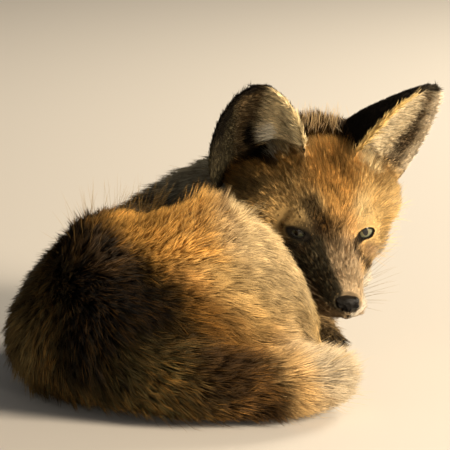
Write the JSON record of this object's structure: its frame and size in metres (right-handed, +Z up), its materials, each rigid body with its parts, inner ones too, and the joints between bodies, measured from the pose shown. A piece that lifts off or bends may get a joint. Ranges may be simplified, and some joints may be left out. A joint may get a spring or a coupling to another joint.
{
  "type": "red fox kit, curled up",
  "caption": "Life-size still model of a young red fox curled on the ground, head turned back over its hip, tail wrapped around in front.",
  "frame": {"origin": "on the ground, under the centre of the whole fox's bounding box", "axes": "+Z up; -Y towards the viewer who faces the fox's rump and tail, as in the picture; +X to that viewer's right, the side that the curl opens to and where the head looks over the hip"},
  "size_m": [0.2258, 0.2788, 0.1522],
  "materials": {
    "fur_face": "short orange-brown fur",
    "fur_back": "long woolly brown fur",
    "fur_flank": "long buff and orange fur",
    "fur_white": "long cream fur",
    "fur_leg": "short dark brown fur",
    "fur_ear": "short black-brown fur, cream inside",
    "nose_leather": "moist black leather",
    "eye": "glossy eye with a grey-green iris"
  },
  "bodies": {
    "root": {"head": "fur_face", "nose": "nose_leather", "eye_left": "eye", "eye_right": "eye", "ear_left": "fur_ear", "ear_right": "fur_ear", "neck": "fur_back", "trunk": "fur_back", "tail": "fur_back", "tail_tip": "fur_white", "leg_front_left": "fur_leg", "leg_front_right": "fur_leg", "leg_hind_left": "fur_leg", "leg_hind_right": "fur_flank"}
  },
  "joints": []
}
